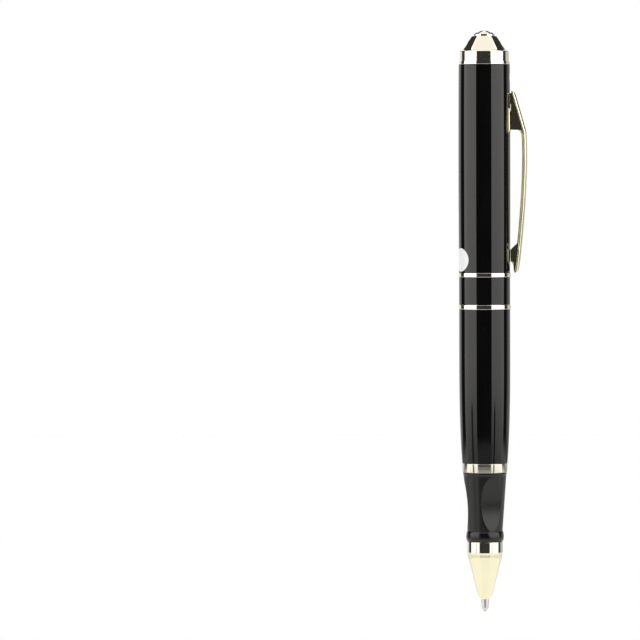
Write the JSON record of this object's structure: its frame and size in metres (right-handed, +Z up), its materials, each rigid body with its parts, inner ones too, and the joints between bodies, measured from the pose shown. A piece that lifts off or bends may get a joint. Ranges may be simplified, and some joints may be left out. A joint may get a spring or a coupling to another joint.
{
  "type": "subminiature pen camera",
  "caption": "Black and gold ballpoint pen with a hidden camera: button in the faceted head, sprung pocket clip, unscrewing barrel over a USB socket, twist-out refill.",
  "frame": {"origin": "on the pen's axis, level with the throat of the clip, where the hem of a pocket hangs", "axes": "+Z up the pen from the ball to the button; +X towards the clip"},
  "size_m": [0.0181, 0.0138, 0.152],
  "materials": {
    "gold": "polished",
    "pale_gold": "polished",
    "lacquer": "gloss",
    "grip_black": "gloss",
    "black_plastic": "satin",
    "grey_plastic": "matte",
    "white_plastic": "satin",
    "cell_can": "satin",
    "steel": "brushed",
    "bright_steel": "polished",
    "lens_glass": "clear",
    "light_lens": "clear",
    "board_green": "satin",
    "label_paper": "matte"
  },
  "bodies": {
    "camera_half": {"head_cap": "gold", "head_lip": "gold", "button_bezel": "gold", "switch_case": "black_plastic", "head_bulkhead": "grey_plastic", "upper_barrel": "lacquer", "clip_saddle": "pale_gold", "clip_anchor": "steel", "clip_pin": "steel", "lens_window": "lens_glass", "camera_module": "black_plastic", "image_sensor": "black_plastic", "microphone": "steel", "status_light": "light_lens", "main_board": "board_green", "memory_chip": "black_plastic", "control_chip": "black_plastic", "battery_bulkhead": "grey_plastic", "battery": "cell_can", "label_sticker": "label_paper", "upper_ring": "gold", "centre_sleeve": "lacquer", "threaded_collar": "gold", "core_tube": "gold", "plug_socket_half": "white_plastic", "plug_blank_half": "white_plastic", "usb_shell": "steel", "usb_tongue": "black_plastic", "usb_contacts": "gold", "usb_board": "board_green"},
    "button": {"push_button": "gold", "switch_plunger": "white_plastic"},
    "clip": {"pocket_clip": "pale_gold"},
    "joint_ring": {"lower_ring": "gold"},
    "writing_half": {"lower_barrel": "lacquer", "thread_insert": "gold", "cam_housing": "steel"},
    "grip_section": {"grip_ring": "gold", "grip": "grip_black", "nose_band": "gold", "nose_cone": "pale_gold", "cam_sleeve": "steel"},
    "refill": {"refill_tube": "gold", "refill_point": "bright_steel", "refill_pusher": "white_plastic", "refill_spring": "steel"},
    "ball": {"point_ball": "bright_steel"}
  },
  "joints": [
    {"name": "button_press", "type": "slide", "parent": "camera_half", "child": "button", "axis": [0, 0, -1], "range_m": [0, 0.0005], "stiffness_N_per_m": 3000},
    {"name": "clip_flex", "type": "hinge", "parent": "camera_half", "child": "clip", "pos_m": [0.005, 0, 0.0091], "axis": [0, -1, 0], "range_deg": [0, 4], "stiffness_Nm_per_rad": 2},
    {"name": "barrel_turn", "type": "hinge", "parent": "camera_half", "child": "joint_ring", "pos_m": [0, 0, -0.0457], "axis": [0, 0, -1], "continuous": true},
    {"name": "barrel_draw", "type": "slide", "parent": "joint_ring", "child": "writing_half", "axis": [0, 0, -1], "range_m": [0, 0.032]},
    {"name": "grip_twist", "type": "hinge", "parent": "writing_half", "child": "grip_section", "pos_m": [0, 0, -0.0866], "axis": [0, 0, 1], "range_deg": [0, 180]},
    {"name": "refill_draw", "type": "slide", "parent": "writing_half", "child": "refill", "axis": [0, 0, 1], "range_m": [0, 0.0035], "deforming": ["refill_spring"]},
    {"name": "ball_roll", "type": "hinge", "parent": "refill", "child": "ball", "pos_m": [0, 0, -0.12516], "axis": [0, 1, 0], "continuous": true}
  ],
  "couplings": [
    {"joint": "grip_twist", "follows": "refill_draw", "rad_per_m": 897.6}
  ]
}
